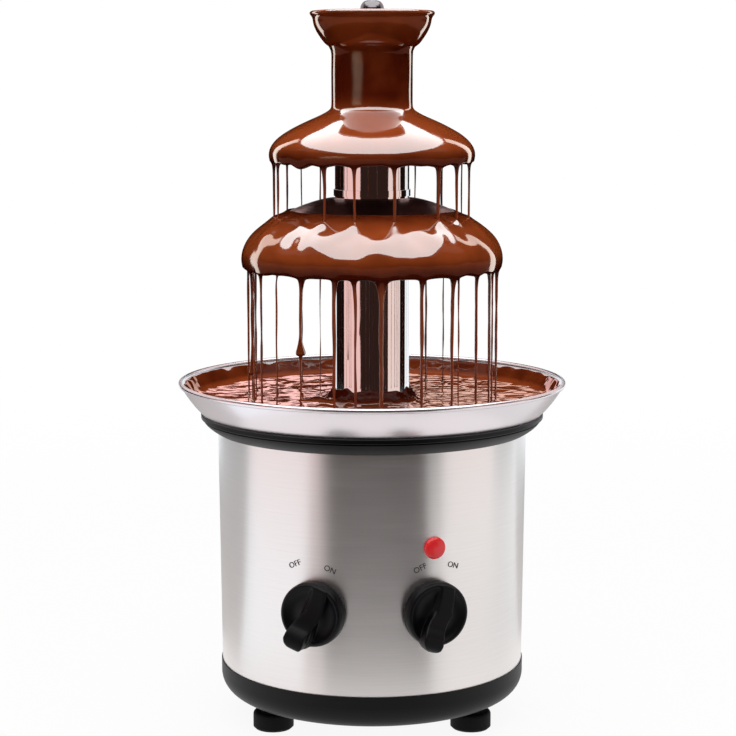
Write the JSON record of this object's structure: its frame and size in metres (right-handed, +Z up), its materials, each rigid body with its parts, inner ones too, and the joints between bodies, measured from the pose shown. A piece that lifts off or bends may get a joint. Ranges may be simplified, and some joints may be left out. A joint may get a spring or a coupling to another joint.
{
  "type": "chocolate fountain",
  "caption": "Tabletop chocolate fountain: screw auger in a tiered tower over a heated bowl, on a round steel housing with rotary knobs, pilot lamp and levelling feet, running with chocolate",
  "frame": {"origin": "on the table under the tower's axis, at the middle of the overall box", "axes": "+Z up along the tower, controls face -Y, the cord leaves towards +Y"},
  "size_m": [0.2116, 0.2116, 0.3918],
  "materials": {
    "black_plastic": "satin moulded",
    "brushed_steel": "brushed around the axis",
    "polished_steel": "polished",
    "bush_plastic": "moulded",
    "seal_rubber": "moulded",
    "pad_rubber": "moulded",
    "zinc_steel": "zinc plated",
    "brass": "turned",
    "cast_aluminium": "as cast",
    "motor_steel": "grey",
    "dark_plastic": "moulded",
    "copper_winding": "enamelled copper",
    "magnet": "ground",
    "gear_nylon": "moulded",
    "lens_red": "clear red",
    "lamp_body": "moulded",
    "chocolate": "molten, wet"
  },
  "bodies": {
    "base": {"base_tray": "black_plastic", "bowl_ring": "black_plastic", "cord_gland": "black_plastic", "housing_sleeve": "brushed_steel", "bowl": "polished_steel", "tower_pins": "polished_steel", "bush_nut": "polished_steel", "shaft_bush": "bush_plastic", "shaft_seal": "seal_rubber", "base_screws": "zinc_steel", "drive_screws": "zinc_steel", "switch_nuts": "zinc_steel", "foot_nuts": "zinc_steel", "motor_plate": "zinc_steel", "upper_standoffs": "brass", "lower_standoffs": "brass", "gear_bushes": "brass", "gear_case": "cast_aluminium", "gear_cover": "cast_aluminium", "heater_ring": "cast_aluminium", "motor_can": "motor_steel", "motor_cap": "dark_plastic", "motor_switch": "dark_plastic", "heat_switch": "dark_plastic", "thermostat": "dark_plastic", "motor_stator": "copper_winding", "pilot_lens": "lens_red", "pilot_lamp": "lamp_body", "terminal_block": "lamp_body", "chocolate_pool": "chocolate"},
    "motor_knob": {"motor_knob": "black_plastic", "motor_stem": "zinc_steel"},
    "heat_knob": {"heat_knob": "black_plastic", "heat_stem": "zinc_steel"},
    "drive": {"drive_shaft": "zinc_steel", "drive_collar": "bush_plastic", "output_gear": "gear_nylon"},
    "rotor": {"rotor_magnet": "magnet", "rotor_shaft": "zinc_steel", "motor_pinion": "brass"},
    "auger": {"auger_core": "polished_steel", "auger_flight": "polished_steel", "auger_hub": "bush_plastic", "auger_tip": "polished_steel"},
    "tower_lower": {"lower_tube": "polished_steel", "lower_tier": "polished_steel", "tower_spigot": "polished_steel", "chocolate_lower": "chocolate"},
    "tower_upper": {"upper_tube": "polished_steel", "upper_tier": "polished_steel", "crown_cup": "polished_steel", "chocolate_crown": "chocolate", "chocolate_upper": "chocolate"},
    "foot_left": {"foot_pad_left": "pad_rubber", "foot_stud_left": "zinc_steel"},
    "foot_right": {"foot_pad_right": "pad_rubber", "foot_stud_right": "zinc_steel"},
    "foot_rear": {"foot_pad_rear": "pad_rubber", "foot_stud_rear": "zinc_steel"}
  },
  "joints": [
    {"name": "motor_knob_turn", "type": "hinge", "parent": "base", "child": "motor_knob", "pos_m": [-0.02924, -0.07819, 0.0768], "axis": [-0.3502, -0.9367, 0], "range_deg": [0, 40]},
    {"name": "heat_knob_turn", "type": "hinge", "parent": "base", "child": "heat_knob", "pos_m": [0.03127, -0.0774, 0.0768], "axis": [0.3746, -0.9272, 0], "range_deg": [0, 40]},
    {"name": "drive_spin", "type": "hinge", "parent": "base", "child": "drive", "pos_m": [0, 0, 0.12], "axis": [0, 0, 1], "continuous": true},
    {"name": "rotor_spin", "type": "hinge", "parent": "base", "child": "rotor", "pos_m": [0, 0.0288, 0.09], "axis": [0, 0, 1], "continuous": true},
    {"name": "auger_lift", "type": "slide", "parent": "drive", "child": "auger", "axis": [0, 0, 1], "range_m": [0, 0.23]},
    {"name": "tower_lift", "type": "slide", "parent": "base", "child": "tower_lower", "axis": [0, 0, 1], "range_m": [0, 0.25]},
    {"name": "crown_lift", "type": "slide", "parent": "tower_lower", "child": "tower_upper", "axis": [0, 0, 1], "range_m": [0, 0.12]},
    {"name": "foot_left_screw", "type": "slide", "parent": "base", "child": "foot_left", "axis": [0, 0, -1], "range_m": [-0.002, 0.005]},
    {"name": "foot_right_screw", "type": "slide", "parent": "base", "child": "foot_right", "axis": [0, 0, -1], "range_m": [-0.002, 0.005]},
    {"name": "foot_rear_screw", "type": "slide", "parent": "base", "child": "foot_rear", "axis": [0, 0, -1], "range_m": [-0.002, 0.005]}
  ],
  "couplings": [
    {"joint": "rotor_spin", "follows": "drive_spin", "ratio": -3}
  ]
}
